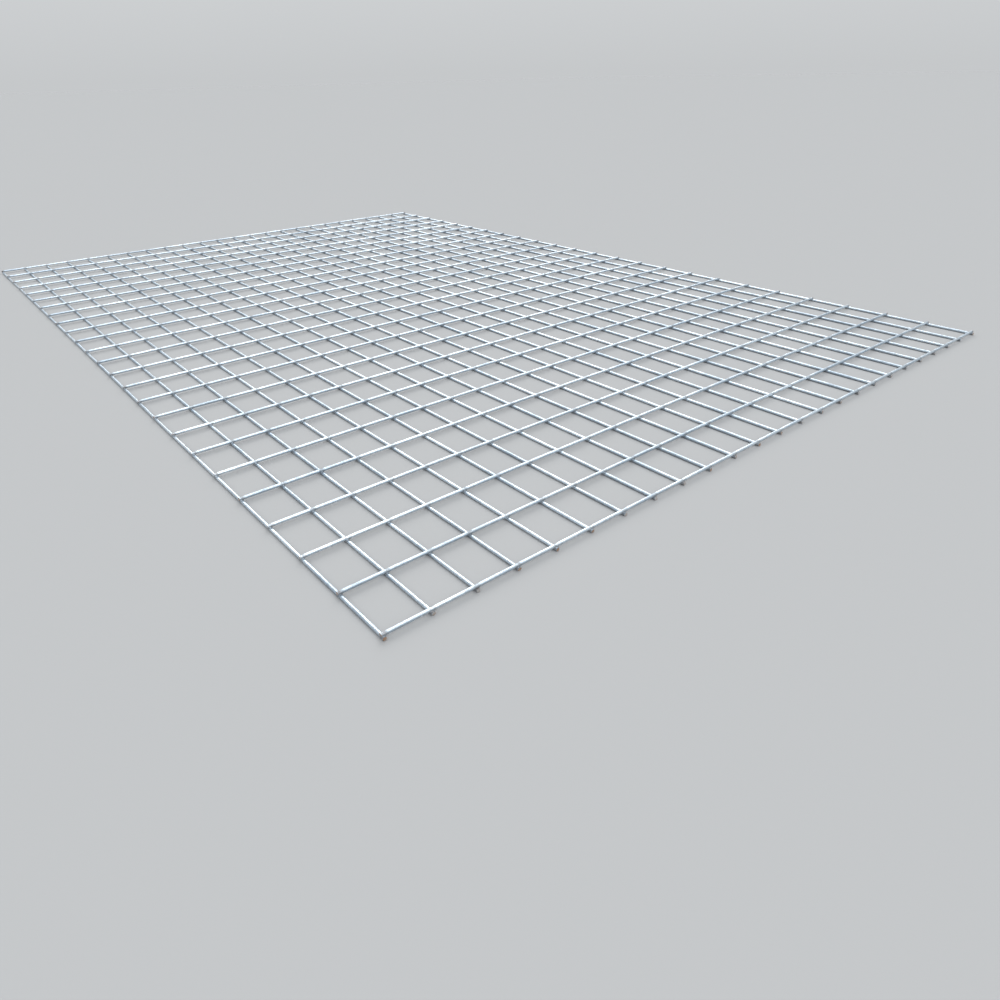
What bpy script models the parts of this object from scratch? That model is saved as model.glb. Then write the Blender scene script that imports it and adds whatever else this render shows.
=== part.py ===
# Welded wire mesh panel: long wires below, cross wires welded on top of them.
# Metres, +Z up. The panel lies flat with the undersides of its long wires on z = 0.
# X runs along the cross wires (the short side), Y along the long wires.

import math

import bmesh
import bpy
from mathutils import Matrix, Vector

# Driving sizes of the sheet: the cut lengths of its cross wires and of its long wires
PANEL_WIDTH = 1.206
PANEL_LENGTH = 1.808
CELL_WIDTH = 0.050
CELL_LENGTH = 0.075
WIRE_DIAMETER = 0.004

# The welding presses each cross wire into the long wires by this part of a wire diameter
WELD_SINK_SHARE = 0.15

# Seven sides give a flat on one side of the wire and an edge opposite it. The long wires have
# the flat below, to rest on, and the cross wires have it above, so edge meets edge at each weld.
WIRE_SIDES = 7

# The sheet is one welded piece. It is kept in bays, parted halfway along a cell by a cut
# too narrow to see.
BAY_NAMES = ("mesh_near_bay", "mesh_middle_bay", "mesh_far_bay")
BAY_CUT = 0.0003

# Bright galvanised wire
ZINC_COLOUR = (0.62, 0.65, 0.68, 1.0)
ZINC_ROUGHNESS = 0.38

# Worked out from the sizes above: as many whole cells as fit, in the middle of the sheet
CELLS_ACROSS = int((PANEL_WIDTH - WIRE_DIAMETER) / CELL_WIDTH)
CELLS_ALONG = int((PANEL_LENGTH - WIRE_DIAMETER) / CELL_LENGTH)
LONG_WIRES = CELLS_ACROSS + 1
CROSS_WIRES = CELLS_ALONG + 1
WIRE_RADIUS = WIRE_DIAMETER / (1 + math.cos(math.pi / WIRE_SIDES))
FLAT_DEPTH = WIRE_RADIUS * math.cos(math.pi / WIRE_SIDES)
LONG_WIRE_HEIGHT = FLAT_DEPTH
CROSS_WIRE_HEIGHT = 2 * WIRE_DIAMETER - WELD_SINK_SHARE * WIRE_DIAMETER - FLAT_DEPTH


def clearScene():
    for old in list(bpy.data.objects):
        bpy.data.objects.remove(old, do_unlink=True)


def galvanisedSteel():
    material = bpy.data.materials.new("galvanised_steel")
    material.use_nodes = True
    shader = material.node_tree.nodes["Principled BSDF"]
    shader.inputs["Base Color"].default_value = ZINC_COLOUR
    shader.inputs["Roughness"].default_value = ZINC_ROUGHNESS
    shader.inputs["Metallic"].default_value = 1.0
    return material


def addWire(mesh, start, end, flatSide):
    """A straight wire between two points, with its flat turned towards flatSide."""
    along = end - start
    side = flatSide.cross(along.normalized())
    turn = Matrix((side, flatSide, side.cross(flatSide))).transposed().to_4x4()
    place = Matrix.Translation((start + end) / 2) @ turn
    # a cone has its first corner on its own +Y, so it is turned to put a flat there
    spin = Matrix.Rotation(math.pi / WIRE_SIDES, 4, "Z")
    bmesh.ops.create_cone(
        mesh,
        cap_ends=True,
        segments=WIRE_SIDES,
        radius1=WIRE_RADIUS,
        radius2=WIRE_RADIUS,
        depth=along.length,
        matrix=place @ spin,
    )


def makeObject(name, mesh):
    bmesh.ops.recalc_face_normals(mesh, faces=mesh.faces)
    data = bpy.data.meshes.new(name)
    mesh.to_mesh(data)
    mesh.free()
    piece = bpy.data.objects.new(name, data)
    bpy.context.scene.collection.objects.link(piece)
    return piece


def longWireX(number):
    return (number - CELLS_ACROSS / 2) * CELL_WIDTH


def crossWireY(number):
    return (number - CELLS_ALONG / 2) * CELL_LENGTH


def longWires(name, startY, endY):
    mesh = bmesh.new()
    for number in range(LONG_WIRES):
        x = longWireX(number)
        start = Vector((x, startY, LONG_WIRE_HEIGHT))
        end = Vector((x, endY, LONG_WIRE_HEIGHT))
        addWire(mesh, start, end, Vector((0, 0, -1)))
    return makeObject(name, mesh)


def crossWires(name, numbers):
    mesh = bmesh.new()
    for number in numbers:
        y = crossWireY(number)
        start = Vector((-PANEL_WIDTH / 2, y, CROSS_WIRE_HEIGHT))
        end = Vector((PANEL_WIDTH / 2, y, CROSS_WIRE_HEIGHT))
        addWire(mesh, start, end, Vector((0, 0, 1)))
    return makeObject(name, mesh)


def fuse(piece, tool):
    """Join the tool's wires to the piece's wires, so that they are one solid."""
    joint = piece.modifiers.new("welds", "BOOLEAN")
    joint.operation = "UNION"
    joint.solver = "EXACT"
    joint.object = tool
    tool.hide_render = True
    tool.display_type = "WIRE"


def bayEnds(numbers):
    """The two ends of a bay's long wires: cut ends of the sheet, or cuts between bays."""
    halfCell = (CELL_LENGTH - BAY_CUT) / 2
    startY = max(crossWireY(numbers[0]) - halfCell, -PANEL_LENGTH / 2)
    endY = min(crossWireY(numbers[-1]) + halfCell, PANEL_LENGTH / 2)
    return startY, endY


def makeBay(name, numbers, material):
    startY, endY = bayEnds(numbers)
    bay = longWires(name, startY, endY)
    bay.data.materials.append(material)
    fuse(bay, crossWires(name + "_cross_wires", numbers))


def makePanel():
    material = galvanisedSteel()
    bays = len(BAY_NAMES)
    for bay, name in enumerate(BAY_NAMES):
        first = round(bay * CROSS_WIRES / bays)
        following = round((bay + 1) * CROSS_WIRES / bays)
        makeBay(name, range(first, following), material)


clearScene()
makePanel()
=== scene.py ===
import math
import random

import bpy
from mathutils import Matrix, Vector


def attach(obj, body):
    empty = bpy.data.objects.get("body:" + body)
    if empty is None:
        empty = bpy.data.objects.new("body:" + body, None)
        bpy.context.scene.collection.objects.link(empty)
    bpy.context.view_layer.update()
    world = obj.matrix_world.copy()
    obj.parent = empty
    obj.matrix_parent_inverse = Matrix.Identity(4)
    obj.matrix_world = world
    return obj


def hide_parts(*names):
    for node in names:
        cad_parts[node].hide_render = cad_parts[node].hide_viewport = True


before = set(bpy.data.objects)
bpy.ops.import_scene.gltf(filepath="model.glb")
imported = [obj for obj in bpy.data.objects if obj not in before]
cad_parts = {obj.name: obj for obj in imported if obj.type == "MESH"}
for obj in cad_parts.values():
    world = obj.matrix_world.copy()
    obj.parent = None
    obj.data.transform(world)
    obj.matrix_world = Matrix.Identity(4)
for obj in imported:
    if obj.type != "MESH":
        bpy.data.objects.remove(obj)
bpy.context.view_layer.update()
nodeNames = ("mesh_near_bay", "mesh_middle_bay", "mesh_far_bay")

# The lay-out of the sheet, in metres, as the solid model has it
sheet = {
    "cellWidth": 0.050,
    "cellLength": 0.075,
    "cellsAcross": 24,
    "cellsAlong": 24,
    "wireDiameter": 0.004,
    "longWireHeight": 0.002,      # axis of the wires that lie below
    "crossWireHeight": 0.0054,    # axis of the wires welded on top of them
}
wireRadius = sheet["wireDiameter"] / 2
halfWidth = sheet["cellWidth"] * sheet["cellsAcross"] / 2
halfLength = sheet["cellLength"] * sheet["cellsAlong"] / 2
dice = random.Random(41)          # the same uneven ends and welds on every run


# Small helpers for nodes

# a socket takes a plain value, or a link from another node
def feed(tree, socket, value):
    if isinstance(value, bpy.types.NodeSocket):
        tree.links.new(value, socket)
    else:
        socket.default_value = value


def newNode(tree, kind, inputs=None, **settings):
    node = tree.nodes.new(kind)
    for name, value in settings.items():
        setattr(node, name, value)
    for name, value in (inputs or {}).items():
        feed(tree, node.inputs[name], value)
    return node


def calculate(tree, operation, *values):
    inputs = dict(enumerate(values))
    return newNode(tree, "ShaderNodeMath", inputs, operation=operation).outputs[0]


def rescale(tree, value, reads, gives):
    inputs = {
        "Value": value,
        "From Min": reads[0],
        "From Max": reads[1],
        "To Min": gives[0],
        "To Max": gives[1],
    }
    return newNode(tree, "ShaderNodeMapRange", inputs).outputs["Result"]


# the colour sockets of a Mix node come after those for numbers and vectors
def blendColour(tree, amount, first, second, kind="MIX"):
    inputs = {0: amount, 6: first, 7: second}
    node = newNode(tree, "ShaderNodeMix", inputs, data_type="RGBA", blend_type=kind)
    return node.outputs[2]


def greyColour(tree, value):
    return newNode(tree, "ShaderNodeCombineColor", {0: value, 1: value, 2: value}).outputs[0]


def noise(tree, place, look):
    inputs = {
        "Vector": place,
        "Scale": look["scale"],
        "Detail": look["detail"],
        "Roughness": look.get("roughness", 0.5),
    }
    return newNode(tree, "ShaderNodeTexNoise", inputs).outputs["Fac"]


# the part of a noise that is read, turned into what that part gives
def noiseMark(tree, place, look):
    return rescale(tree, noise(tree, place, look), look["reads"], look["gives"])


def addBump(tree, shader, height, look):
    inputs = {"Height": height, "Strength": look["strength"], "Distance": look["depth"]}
    bump = newNode(tree, "ShaderNodeBump", inputs)
    tree.links.new(bump.outputs[0], shader.inputs["Normal"])


def newPaint(name):
    paint = bpy.data.materials.new(name)
    paint.use_nodes = True
    return paint, paint.node_tree.nodes["Principled BSDF"]


# Camera, floor and light

view = {
    "place": (-0.8145, -1.3244, 0.4100),
    "turn": (59.30, 1.11, -39.75),      # degrees
    "lens": 25.9,
    "sensor": 36,
    "nearest": 0.01,
    "farthest": 200,
}
ground = {
    "size": 90.0,
    "height": -0.0002,                  # just clear of the wires that rest on it
    "tone": (0.3174, 0.3192, 0.3228, 1),
    "roughness": 0.9,
}
sky = {
    "low": (0.469, 0.482, 0.492, 1),    # meets the floor at the horizon
    "high": (0.95, 0.98, 1.0, 1),
    "strength": 1.2,
}
# wide, distant panels of light: towards is where each stands, seen from the sheet
lights = {
    "behind": {
        "towards": (1.6, 2.0, 1.9), "width": 50, "strength": 2.0, "colour": (1.0, 0.99, 0.97)},
    "overhead": {
        "towards": (0.3, -1.1, 2.8), "width": 46, "strength": 0.9, "colour": (0.95, 0.98, 1.0)},
    "front": {
        "towards": (-1.3, -1.7, 1.7), "width": 50, "strength": 1.0, "colour": (0.97, 0.99, 1.0)},
}


def deselectAll():
    if bpy.context.mode != "OBJECT":
        bpy.ops.object.mode_set(mode="OBJECT")
    bpy.ops.object.select_all(action="DESELECT")


def placeCamera():
    deselectAll()
    bpy.ops.object.camera_add(location=view["place"])
    camera = bpy.context.object
    camera.name = "camera"
    camera.rotation_euler = [math.radians(angle) for angle in view["turn"]]
    camera.data.lens = view["lens"]
    camera.data.sensor_width = view["sensor"]
    camera.data.clip_start = view["nearest"]
    camera.data.clip_end = view["farthest"]
    bpy.context.scene.camera = camera


def addSoftLight(name, look):
    deselectAll()
    bpy.ops.object.light_add(type="SUN", location=look["towards"])
    lamp = bpy.context.object
    lamp.name = name
    lamp.data.angle = math.radians(look["width"])
    lamp.data.energy = look["strength"]
    lamp.data.color = look["colour"]
    lamp.rotation_euler = Vector(look["towards"]).to_track_quat("Z", "Y").to_euler()


def floorPaint():
    paint, shader = newPaint("paleFloor")
    shader.inputs["Base Color"].default_value = ground["tone"]
    shader.inputs["Roughness"].default_value = ground["roughness"]
    shader.inputs["Specular IOR Level"].default_value = 0.0
    return paint


def layFloor():
    deselectAll()
    bpy.ops.mesh.primitive_plane_add(size=ground["size"], location=(0, 0, ground["height"]))
    floor = bpy.context.object
    floor.name = "floor"
    floor.data.materials.append(floorPaint())


# a sky that is paler the higher one looks
def hangSky():
    world = bpy.data.worlds.new("softSky")
    bpy.context.scene.world = world
    world.use_nodes = True
    tree = world.node_tree
    direction = newNode(tree, "ShaderNodeTexCoord").outputs["Generated"]
    height = newNode(tree, "ShaderNodeSeparateXYZ", {0: direction}).outputs["Z"]
    background = tree.nodes["Background"]
    feed(tree, background.inputs["Strength"], sky["strength"])
    feed(tree, background.inputs["Color"], blendColour(tree, height, sky["low"], sky["high"]))


placeCamera()
layFloor()
hangSky()
for lightName, lightLook in lights.items():
    addSoftLight(lightName, lightLook)
bpy.context.scene.view_settings.view_transform = "Standard"
print("camera, floor and light set")


# Finishes

# bright galvanised steel: its colours, then how far the weld, the flecks and the rust change
# the colour or add to the roughness
zinc = {
    "bright": (0.705, 0.79, 0.865, 1),
    "dull": (0.44, 0.52, 0.60, 1),
    "fleckTone": (0.38, 0.42, 0.46, 1),
    "weldTone": (0.20, 0.205, 0.21, 1),
    "rustTone": (0.26, 0.155, 0.095, 1),
    "roughness": (0.40, 0.20),          # of dull and of bright patches
    "weldInColour": 0.62,
    "rustInColour": 0.5,
    "fleckRougher": 0.25,
    "weldRougher": 0.22,
    "rustRougher": 0.3,
    "bump": {"strength": 0.55, "depth": 0.00018},
}
# marks on the zinc: a noise, the part of it that is read, and what that part gives
marks = {
    "patch": {"scale": 9, "detail": 5, "roughness": 0.6, "reads": (0.36, 0.64), "gives": (0, 1)},
    "wireTone": {"scale": 40, "detail": 1, "reads": (0.3, 0.7), "gives": (0.90, 1.08)},
    "fleck": {"scale": 620, "detail": 3, "roughness": 0.6, "reads": (0.56, 0.68), "gives": (0, 0.55)},
    "burn": {"scale": 420, "detail": 3, "reads": (0.3, 0.6), "gives": (0.45, 1.0)},
    "rustSpot": {"scale": 150, "detail": 4, "roughness": 0.65, "reads": (0.44, 0.60), "gives": (0, 1)},
}
# zinc crystals about three millimetres across, each a little lighter or darker
crystal = {"scale": 340, "reads": (0.2, 0.8), "tone": (0.86, 1.07), "rougher": (0.06, -0.04)}
drawingLine = {"scale": 1400, "detail": 2, "reads": (0.3, 0.7), "rougher": (-0.05, 0.07), "height": 0.35}
grain = {"scale": 900, "detail": 4, "roughness": 0.7, "height": 0.25}
lump = {"scale": 160, "detail": 3, "height": 1.6}
drawnOut = 0.05                         # marks that run with the wire are this much longer
weldReach = (0.0020, 0.0046)            # from a crossing, where the burn is full and where it ends
rustReach = (-0.006, 0.003)             # from the outermost crossing, where rust starts and is full


# 1 on a crossing of two wires and 0 away from it
def nearCrossing(tree, x, y):
    sides = []
    for value, pitch in ((x, sheet["cellWidth"]), (y, sheet["cellLength"])):
        # a crossing falls in the middle of a whole number, and 100 keeps the count above zero
        cells = calculate(tree, "ADD", calculate(tree, "DIVIDE", value, pitch), 100.5)
        offset = calculate(tree, "SUBTRACT", calculate(tree, "FRACT", cells), 0.5)
        metres = calculate(tree, "MULTIPLY", calculate(tree, "ABSOLUTE", offset), pitch)
        sides.append(rescale(tree, metres, weldReach, (1.0, 0.0)))
    return calculate(tree, "MULTIPLY", *sides)


# rust creeps a few millimetres in from the cut ends
def nearEnd(tree, along, halfSpan):
    reads = [halfSpan + reach for reach in rustReach]
    return rescale(tree, calculate(tree, "ABSOLUTE", along), reads, (0, 1))


# all that marks a wire, by name; axis is 0 for one along x, 1 for one along y, and else None
def zincMarks(tree, axis):
    where = newNode(tree, "ShaderNodeTexCoord").outputs["Object"]
    x, y = newNode(tree, "ShaderNodeSeparateXYZ", {0: where}).outputs[:2]
    scale = [drawnOut if side == axis else 1 for side in range(3)]
    alongWire = newNode(tree, "ShaderNodeMapping", {"Vector": where, "Scale": scale}).outputs["Vector"]
    crystals = newNode(tree, "ShaderNodeTexVoronoi", {"Vector": where, "Scale": crystal["scale"]})
    ends = nearEnd(tree, x, halfWidth) if axis == 0 else nearEnd(tree, y, halfLength)
    burn = noiseMark(tree, where, marks["burn"])
    rustSpots = noiseMark(tree, where, marks["rustSpot"])
    return {
        "patches": noiseMark(tree, where, marks["patch"]),
        "wireTone": noiseMark(tree, alongWire, marks["wireTone"]),
        "crystals": newNode(tree, "ShaderNodeRGBToBW", {0: crystals.outputs["Color"]}).outputs[0],
        "flecks": noiseMark(tree, where, marks["fleck"]),
        "weld": calculate(tree, "MULTIPLY", nearCrossing(tree, x, y), burn),
        "rust": calculate(tree, "MULTIPLY", ends, rustSpots),
        "lines": noise(tree, alongWire, drawingLine),
        "grain": noise(tree, where, grain),
        "lumps": noise(tree, where, lump),
    }


def zincColour(tree, found):
    colour = blendColour(tree, found["patches"], zinc["dull"], zinc["bright"])
    # one wire is a little brighter or duller than the next, and so is one crystal
    crystalTone = rescale(tree, found["crystals"], crystal["reads"], crystal["tone"])
    for tone in (found["wireTone"], crystalTone):
        colour = blendColour(tree, 1.0, colour, greyColour(tree, tone), "MULTIPLY")
    # dull flecks where the zinc has begun to weather
    colour = blendColour(tree, found["flecks"], colour, zinc["fleckTone"])
    # the weld burns and pinches the zinc at each crossing
    weld = calculate(tree, "MULTIPLY", found["weld"], zinc["weldInColour"])
    colour = blendColour(tree, weld, colour, zinc["weldTone"])
    rust = calculate(tree, "MULTIPLY", found["rust"], zinc["rustInColour"])
    return blendColour(tree, rust, colour, zinc["rustTone"])


def zincRoughness(tree, found):
    total = rescale(tree, found["patches"], (0, 1), zinc["roughness"])
    changes = (
        rescale(tree, found["lines"], drawingLine["reads"], drawingLine["rougher"]),
        rescale(tree, found["crystals"], crystal["reads"], crystal["rougher"]),
        calculate(tree, "MULTIPLY", found["flecks"], zinc["fleckRougher"]),
        calculate(tree, "MULTIPLY", found["weld"], zinc["weldRougher"]),
        calculate(tree, "MULTIPLY", found["rust"], zinc["rustRougher"]),
    )
    for change in changes:
        total = calculate(tree, "ADD", total, change)
    return total


def zincHeight(tree, found):
    total = calculate(tree, "MULTIPLY", found["lines"], drawingLine["height"])
    for name, look in (("grain", grain), ("lumps", lump)):
        part = calculate(tree, "MULTIPLY", found[name], look["height"])
        total = calculate(tree, "ADD", total, part)
    return total


def zincFinish(name, axis):
    paint, shader = newPaint(name)
    tree = paint.node_tree
    found = zincMarks(tree, axis)
    shader.inputs["Metallic"].default_value = 1.0
    feed(tree, shader.inputs["Base Color"], zincColour(tree, found))
    feed(tree, shader.inputs["Roughness"], zincRoughness(tree, found))
    addBump(tree, shader, zincHeight(tree, found), zinc["bump"])
    return paint


# the sheared face of a wire: bare steel, browned by rust
cutEnd = {
    "steelTone": (0.52, 0.51, 0.50, 1),
    "rustier": {"scale": 22, "detail": 1, "reads": (0.35, 0.65), "gives": (-0.25, 0.2)},   # end by end
    "spots": {"scale": 420, "detail": 5, "roughness": 0.65, "reads": (0.38, 0.66), "gives": (0, 1)},
    "metallic": (0.8, 0.1),             # of bare steel and of rust
    "roughness": (0.5, 0.85),
    "grain": {"scale": 1500, "detail": 3},
    "bump": {"strength": 0.6, "depth": 0.0002},
}


def cutEndFinish():
    paint, shader = newPaint("cutEndSteel")
    tree = paint.node_tree
    where = newNode(tree, "ShaderNodeTexCoord").outputs["Object"]
    spots = noise(tree, where, cutEnd["spots"])
    spots = calculate(tree, "ADD", spots, noiseMark(tree, where, cutEnd["rustier"]))
    spots = rescale(tree, spots, cutEnd["spots"]["reads"], cutEnd["spots"]["gives"])
    colour = blendColour(tree, spots, cutEnd["steelTone"], zinc["rustTone"])
    feed(tree, shader.inputs["Base Color"], colour)
    feed(tree, shader.inputs["Metallic"], rescale(tree, spots, (0, 1), cutEnd["metallic"]))
    feed(tree, shader.inputs["Roughness"], rescale(tree, spots, (0, 1), cutEnd["roughness"]))
    addBump(tree, shader, noise(tree, where, cutEnd["grain"]), cutEnd["bump"])
    return paint


crossZinc = zincFinish("crossWireZinc", 0)
longZinc = zincFinish("longWireZinc", 1)
weldZinc = zincFinish("weldZinc", None)
cutSteel = cutEndFinish()
print("finishes made")


# Wires

wireLook = {
    "sides": 16,
    "mergeWithin": 0.00001,      # joins one cell's length of wire to the next
    "smoothBelow": 40,           # degrees
}
press = {
    "halfSpan": 0.0014,          # the electrode's flat, either way from the crossing
    "fade": 0.0032,              # where the wire is round again
    "depth": 0.00026,
    "spread": 1.05,              # how much wider the pressed part is
    "topFrom": 0.85,             # shares of the radius: the pressed top, and its shoulders below
    "shoulderFrom": 0.5,
    "shoulderShare": 0.25,       # the shoulders sink by this share of the depth
    "slack": 1.2,                # reaches past the flat's ends, to take their points too
}
ends = {
    "longStub": (0.0029, 0.0035),      # how far a long wire runs past the last crossing
    "crossStub": (0.0020, 0.0025),
    "slant": 0.16,                     # lean of the sheared face
}


def editOnly(piece):
    deselectAll()
    piece.select_set(True)
    bpy.context.view_layer.objects.active = piece
    bpy.ops.object.mode_set(mode="EDIT")
    bpy.ops.mesh.select_mode(type="VERT")


# selects the points for which wanted(place) is true
def selectPoints(piece, wanted):
    bpy.ops.mesh.select_all(action="DESELECT")
    bpy.ops.object.mode_set(mode="OBJECT")
    for point in piece.data.vertices:
        point.select = wanted(point.co)
    bpy.ops.object.mode_set(mode="EDIT")


def bisectAt(place, normal, **options):
    bpy.ops.mesh.select_all(action="SELECT")
    bpy.ops.mesh.bisect(plane_co=place, plane_no=normal, **options)


def applyAll(piece):
    deselectAll()
    piece.select_set(True)
    bpy.context.view_layer.objects.active = piece
    for modifier in list(piece.modifiers):
        bpy.ops.object.modifier_apply(modifier=modifier.name)


# presses the wire flat at x = 0, on its upper side (1) or its lower side (-1)
def pressFlat(wire, pressedSide):
    def inPress(point):
        return abs(point.x) < press["halfSpan"] * press["slack"]

    def onTop(point):
        return inPress(point) and point.z * pressedSide > wireRadius * press["topFrom"]

    def onShoulder(point):
        depth = point.z * pressedSide / wireRadius
        return inPress(point) and press["shoulderFrom"] < depth < press["topFrom"]

    for x in (-press["fade"], -press["halfSpan"], press["halfSpan"], press["fade"]):
        bisectAt((x, 0, 0), (1, 0, 0))
    sink = -press["depth"] * pressedSide
    selectPoints(wire, onTop)
    bpy.ops.transform.translate(value=(0, 0, sink))
    selectPoints(wire, onShoulder)
    bpy.ops.transform.translate(value=(0, 0, sink * press["shoulderShare"]))
    selectPoints(wire, inPress)
    bpy.ops.transform.resize(value=(1, press["spread"], 1))


# one cell's length of wire along x, with a crossing in its middle
def wireStretch(name, pitch, pressedSide):
    deselectAll()
    bpy.ops.mesh.primitive_cylinder_add(
        vertices=wireLook["sides"],
        radius=wireRadius,
        depth=pitch,
        end_fill_type="NOTHING",
        rotation=(0, math.radians(90), 0),
    )
    stretch = bpy.context.object
    stretch.name = name
    bpy.ops.object.transform_apply(location=False, rotation=True, scale=True)
    editOnly(stretch)
    pressFlat(stretch, pressedSide)
    bpy.ops.object.mode_set(mode="OBJECT")
    return stretch


# the stretch repeated over all crossings of one wire
def fullWire(stretch, pitch, cells):
    repeat = stretch.modifiers.new("repeat", "ARRAY")
    repeat.count = cells + 1
    repeat.use_relative_offset = False
    repeat.use_constant_offset = True
    repeat.constant_offset_displace = (pitch, 0, 0)
    repeat.use_merge_vertices = True
    repeat.merge_threshold = wireLook["mergeWithin"]
    applyAll(stretch)
    editOnly(stretch)
    bpy.ops.mesh.select_all(action="SELECT")
    bpy.ops.transform.translate(value=(-pitch * cells / 2, 0, 0))
    bpy.ops.object.mode_set(mode="OBJECT")
    return stretch


# cuts both ends off at slightly different lengths and leans each face a little
def shearEnds(wire, halfSpan, stubs):
    editOnly(wire)
    for side in (-1, 1):
        reach = halfSpan + dice.uniform(*stubs)
        lean = (side, dice.uniform(-1, 1) * ends["slant"], dice.uniform(-1, 1) * ends["slant"])
        bisectAt((side * reach, 0, 0), lean, use_fill=True, clear_outer=True)
    bpy.ops.object.mode_set(mode="OBJECT")


def copyOf(piece):
    twin = piece.copy()
    twin.data = piece.data.copy()
    bpy.context.scene.collection.objects.link(twin)
    return twin


# one mesh of all the pieces, with their places taken up into it
def joinAll(pieces, name):
    deselectAll()
    for piece in pieces:
        piece.select_set(True)
    bpy.context.view_layer.objects.active = pieces[0]
    bpy.ops.object.join()
    whole = bpy.context.object
    whole.name = name
    whole.data.name = name
    bpy.ops.object.transform_apply(location=True, rotation=True, scale=True)
    return whole


# the sheared faces get bare steel, and all the rest gets zinc
def paintWires(wires, finish, axis, halfSpan):
    wires.data.materials.clear()
    wires.data.materials.append(finish)
    wires.data.materials.append(cutSteel)
    for face in wires.data.polygons:
        cut = abs(face.normal[axis]) > 0.9 and abs(face.center[axis]) > halfSpan
        face.material_index = 1 if cut else 0


def layWires(pattern, name, halfSpan, stubs, places, turn):
    wires = []
    for place in places:
        wire = copyOf(pattern)
        shearEnds(wire, halfSpan, stubs)
        wire.rotation_euler = (0, 0, math.radians(turn))
        wire.location = place
        wires.append(wire)
    bpy.data.objects.remove(pattern)
    return joinAll(wires, name)


def crossWireY(number):
    return number * sheet["cellLength"] - halfLength


def longWireX(number):
    return number * sheet["cellWidth"] - halfWidth


def makeCrossWires():
    pitch, cells = sheet["cellWidth"], sheet["cellsAcross"]
    pattern = fullWire(wireStretch("crossWire", pitch, 1), pitch, cells)
    numbers = range(sheet["cellsAlong"] + 1)
    places = [(0, crossWireY(number), sheet["crossWireHeight"]) for number in numbers]
    wires = layWires(pattern, "crossWires", halfWidth, ends["crossStub"], places, 0)
    paintWires(wires, crossZinc, 0, halfWidth)
    return wires


def makeLongWires():
    pitch, cells = sheet["cellLength"], sheet["cellsAlong"]
    pattern = fullWire(wireStretch("longWire", pitch, -1), pitch, cells)
    numbers = range(sheet["cellsAcross"] + 1)
    places = [(longWireX(number), 0, sheet["longWireHeight"]) for number in numbers]
    wires = layWires(pattern, "longWires", halfLength, ends["longStub"], places, 90)
    paintWires(wires, longZinc, 1, halfLength)
    return wires


# Welds

bead = {
    "segments": 12,
    "rings": 4,
    "reach": 0.0025,             # how far the squeezed metal shows from the crossing's middle
    "flatness": 0.48,
    "height": 0.0037,            # where the two wires meet
    "cornerFrom": 0.4,           # share of the reach, past which a point is on a corner
    "corner": 1.12,              # it is squeezed out most between the wires
    "cornerFlatness": 0.8,
    "vary": 0.06,
    "stretch": (0.96, 1.04),
    "thickness": (0.85, 1.1),
    "turn": 0.12,                # radians either way
    "smoothBelow": 180,          # degrees
    "sortFrom": (0.011, 0.023, 0.047),     # no two faces are equally far from here
}


# a new sphere lists its faces in another order on each run, so they are sorted by distance
def sortFaces(place):
    cursor = bpy.context.scene.cursor
    cursor.location = place
    bpy.ops.mesh.select_all(action="SELECT")
    bpy.ops.mesh.sort_elements(type="CURSOR_DISTANCE", elements={"FACE"})
    cursor.location = (0, 0, 0)


def beadPattern():
    def onCorner(point):
        return min(abs(point.x), abs(point.y)) > bead["reach"] * bead["cornerFrom"]

    deselectAll()
    bpy.ops.mesh.primitive_uv_sphere_add(
        segments=bead["segments"], ring_count=bead["rings"], radius=bead["reach"])
    pattern = bpy.context.object
    pattern.name = "weld"
    editOnly(pattern)
    bpy.ops.transform.resize(value=(1, 1, bead["flatness"]))
    selectPoints(pattern, onCorner)
    bpy.ops.transform.resize(value=(bead["corner"], bead["corner"], bead["cornerFlatness"]))
    sortFaces(bead["sortFrom"])
    bpy.ops.object.mode_set(mode="OBJECT")
    return pattern


def makeWelds():
    pattern = beadPattern()
    welds = []
    for i in range(sheet["cellsAcross"] + 1):
        for j in range(sheet["cellsAlong"] + 1):
            weld = copyOf(pattern)
            weld.location = (longWireX(i), crossWireY(j), bead["height"])
            size = 1 + dice.uniform(-1, 1) * bead["vary"]
            stretched = size * dice.uniform(*bead["stretch"])
            weld.scale = (size, stretched, dice.uniform(*bead["thickness"]))
            weld.rotation_euler = (0, 0, dice.uniform(-bead["turn"], bead["turn"]))
            welds.append(weld)
    bpy.data.objects.remove(pattern)
    whole = joinAll(welds, "welds")
    whole.data.materials.append(weldZinc)
    return whole


# The slight bow that real wires keep

bows = {
    "bowAcross": {"direction": "X", "size": 0.0008, "scale": 0.30},
    "bowAlong": {"direction": "Y", "size": 0.0007, "scale": 0.23},
}


def bowField(name):
    field = bpy.data.textures.new(name, "CLOUDS")
    field.noise_scale = bows[name]["scale"]
    field.noise_depth = 1
    return field


# all pieces are pushed by the same fields, so the welds stay on their wires
bowFields = {name: bowField(name) for name in bows}


def bowPiece(piece):
    for name, look in bows.items():
        push = piece.modifiers.new(name, "DISPLACE")
        push.texture = bowFields[name]
        push.texture_coords = "GLOBAL"
        push.direction = look["direction"]
        push.strength = look["size"]
        push.mid_level = 0.5
    applyAll(piece)


def smoothSides(piece, sharpest):
    deselectAll()
    piece.select_set(True)
    bpy.context.view_layer.objects.active = piece
    bpy.ops.object.shade_smooth_by_angle(angle=math.radians(sharpest))


def finishPiece(piece, sharpest):
    bowPiece(piece)
    smoothSides(piece, sharpest)
    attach(piece, "root")
    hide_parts(*nodeNames)
    print(piece.name, "made,", len(piece.data.polygons), "faces")


finishPiece(makeCrossWires(), wireLook["smoothBelow"])
finishPiece(makeLongWires(), wireLook["smoothBelow"])
finishPiece(makeWelds(), bead["smoothBelow"])
